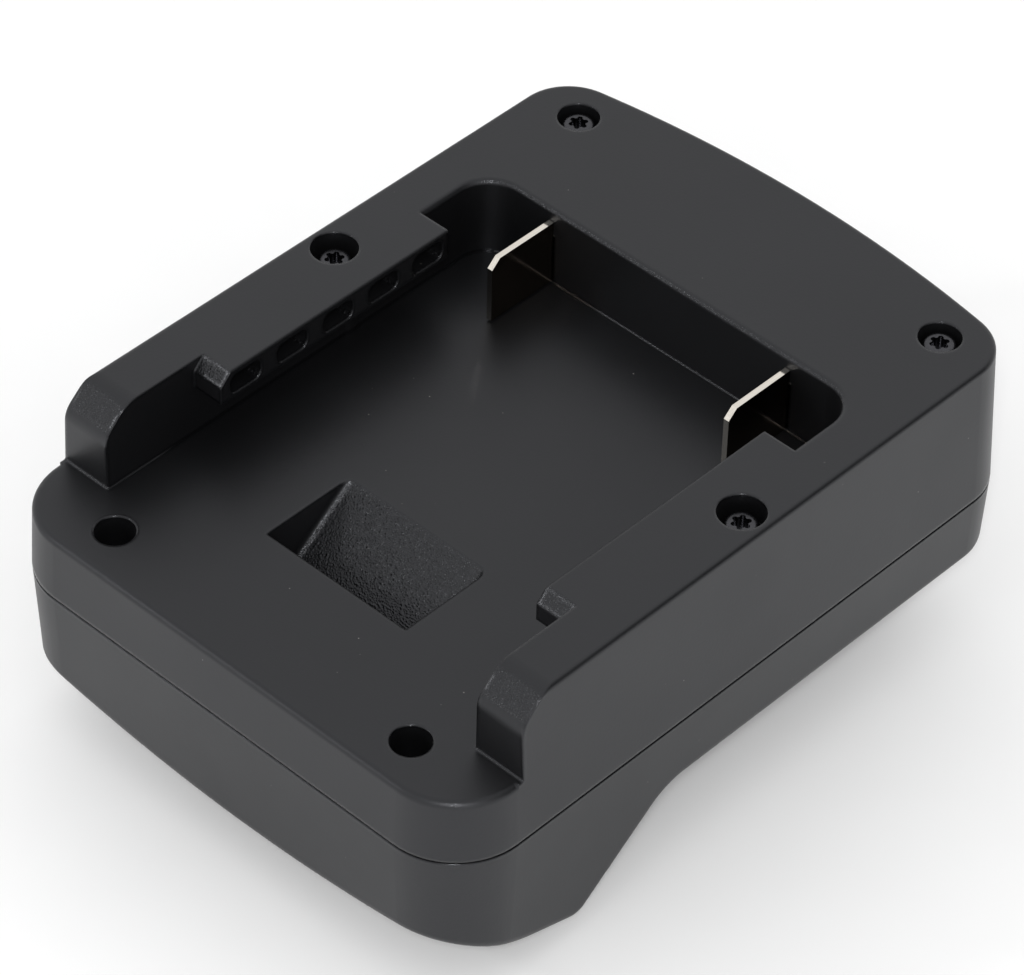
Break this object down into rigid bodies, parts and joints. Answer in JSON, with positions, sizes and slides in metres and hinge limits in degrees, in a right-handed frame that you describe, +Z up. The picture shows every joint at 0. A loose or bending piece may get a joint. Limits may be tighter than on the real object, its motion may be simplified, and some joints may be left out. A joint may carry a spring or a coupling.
{
  "type": "tool battery adapter",
  "caption": "Black two-shell adapter that takes a slide-in battery on its deck and slides by rails on its underside into a tool, with a sprung release latch.",
  "frame": {"origin": "centre of the overall footprint, on the plane of the two rail undersides that it stands on", "axes": "+X across to the positive side, +Y the way the battery slides in, towards the closed end, +Z up out of the deck"},
  "size_m": [0.0786, 0.1039, 0.047],
  "materials": {
    "housing_plastic": "black moulded plastic with a fine satin texture",
    "latch_plastic": "black moulded plastic, slightly smoother than the housing",
    "insulator_plastic": "dark glass-filled plastic",
    "plated_blade": "bright plated contact metal with a fine rolled grain",
    "housing_screw_steel": "dark oxide-finished steel",
    "small_screw_steel": "zinc-plated steel",
    "clip_brass": "spring brass",
    "board_laminate": "green solder mask",
    "component_black": "black moulding compound",
    "capacitor_can": "bare drawn can",
    "shunt_metal": "copper alloy strip",
    "red_insulation": "soft extruded insulation",
    "black_insulation": "soft extruded insulation",
    "white_insulation": "soft extruded insulation",
    "spring_steel": "drawn spring wire"
  },
  "bodies": {
    "housing": {"upper_shell": "housing_plastic", "lower_shell": "housing_plastic", "positive_blade": "plated_blade", "negative_blade": "plated_blade", "far_screws": "housing_screw_steel", "rail_screws": "housing_screw_steel", "front_screws": "housing_screw_steel", "blade_carrier": "insulator_plastic", "blade_carrier_screws": "small_screw_steel", "output_terminal_block": "insulator_plastic", "terminal_block_screws": "small_screw_steel", "positive_output_clip": "clip_brass", "negative_output_clip": "clip_brass", "signal_clip": "clip_brass", "circuit_board": "board_laminate", "board_screws": "small_screw_steel", "power_transistors": "component_black", "controller_chip": "component_black", "smoothing_capacitor": "capacitor_can", "current_shunt": "shunt_metal", "chip_resistors": "component_black", "positive_input_wire": "red_insulation", "positive_output_wire": "red_insulation", "negative_input_wire": "black_insulation", "negative_output_wire": "black_insulation", "signal_wire": "white_insulation", "latch_springs": "spring_steel"},
    "latch": {"release_latch": "latch_plastic"}
  },
  "joints": [
    {"name": "latch_slide", "type": "slide", "parent": "housing", "child": "latch", "axis": [0, 0, 1], "range_m": [0, 0.0045], "stiffness_N_per_m": 800, "springref_m": -0.003, "deforming": ["latch_springs"]}
  ]
}
